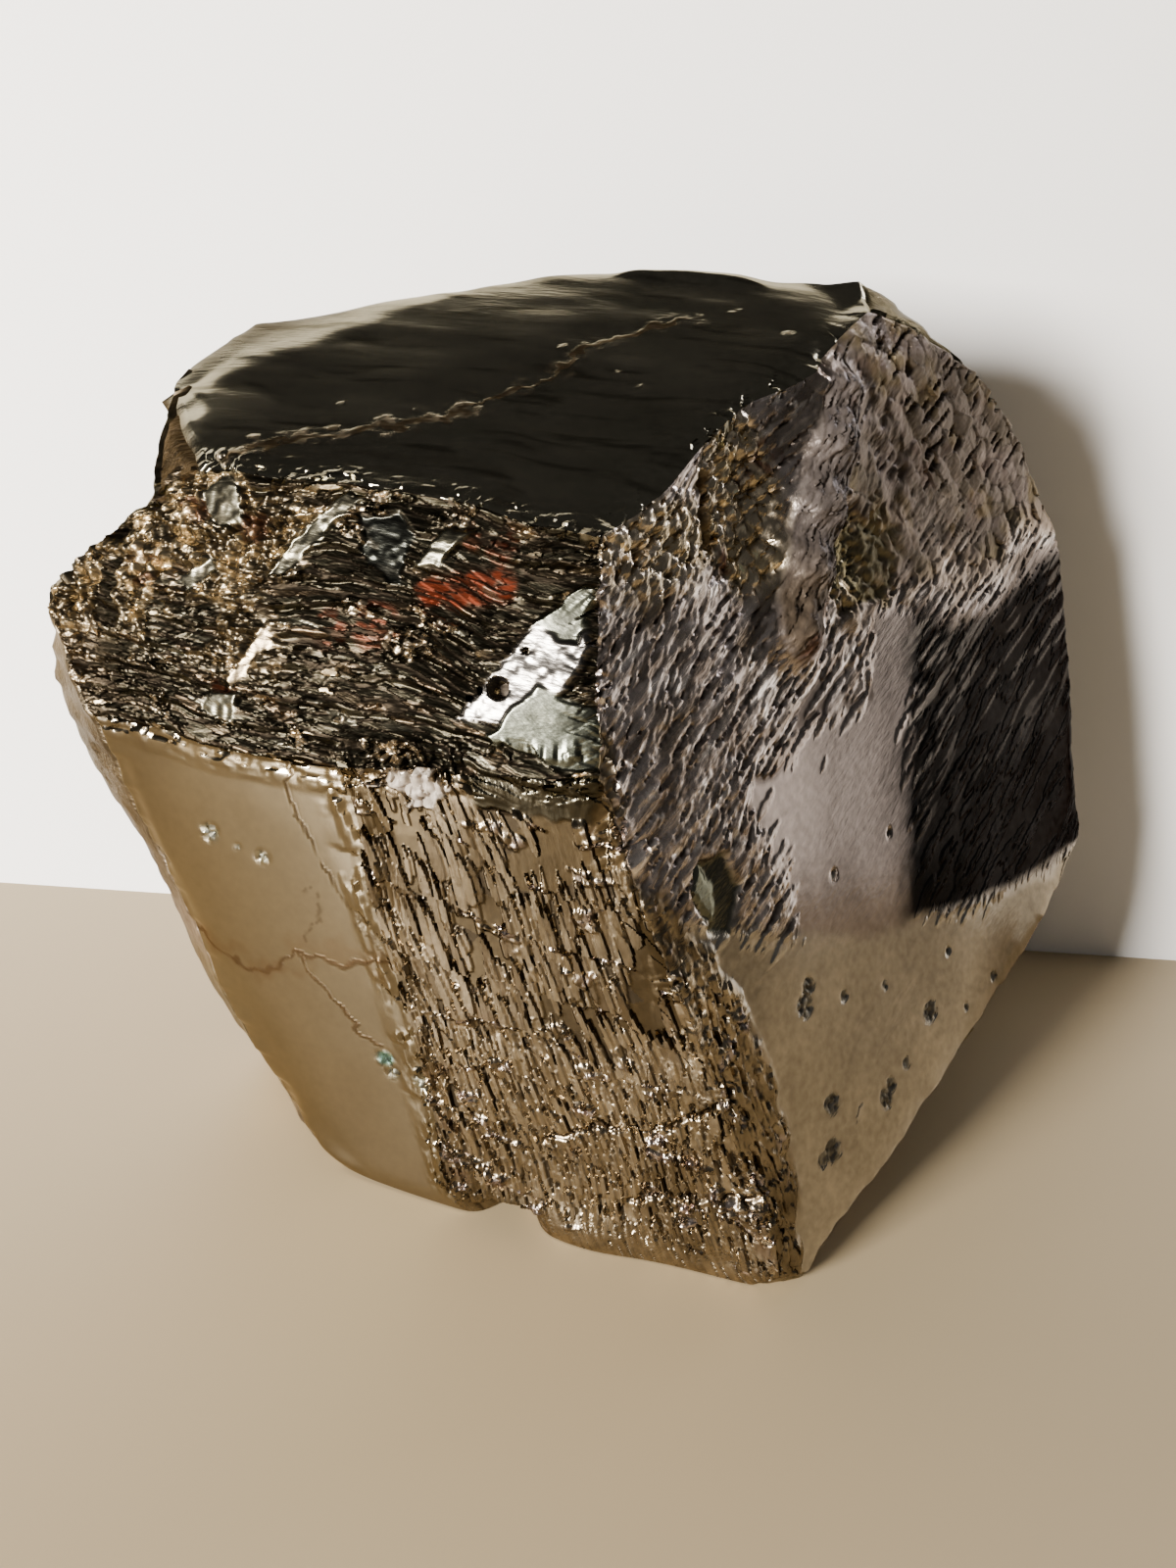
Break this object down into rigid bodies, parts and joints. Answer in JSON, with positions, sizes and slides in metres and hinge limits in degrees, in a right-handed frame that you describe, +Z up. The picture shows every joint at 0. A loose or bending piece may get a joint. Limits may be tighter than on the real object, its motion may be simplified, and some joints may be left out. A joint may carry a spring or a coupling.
{
  "type": "pyrite crystal specimen",
  "caption": "Heavy metallic crystal lump with flat, stepped and etched natural faces, resting on a flat base, for display.",
  "frame": {"origin": "centre of the bounding box's footprint, on the surface the lump rests on", "axes": "+Z up, -Y towards the front edge between the two lower crystal faces, +X to the right seen from the front, along the longest extent"},
  "size_m": [0.1048, 0.0598, 0.0793],
  "materials": {
    "pyrite": "metallic natural crystal, bronze to brass tarnish, part mirror smooth and part etched"
  },
  "bodies": {
    "root": {"pyrite_crystal": "pyrite"}
  },
  "joints": []
}
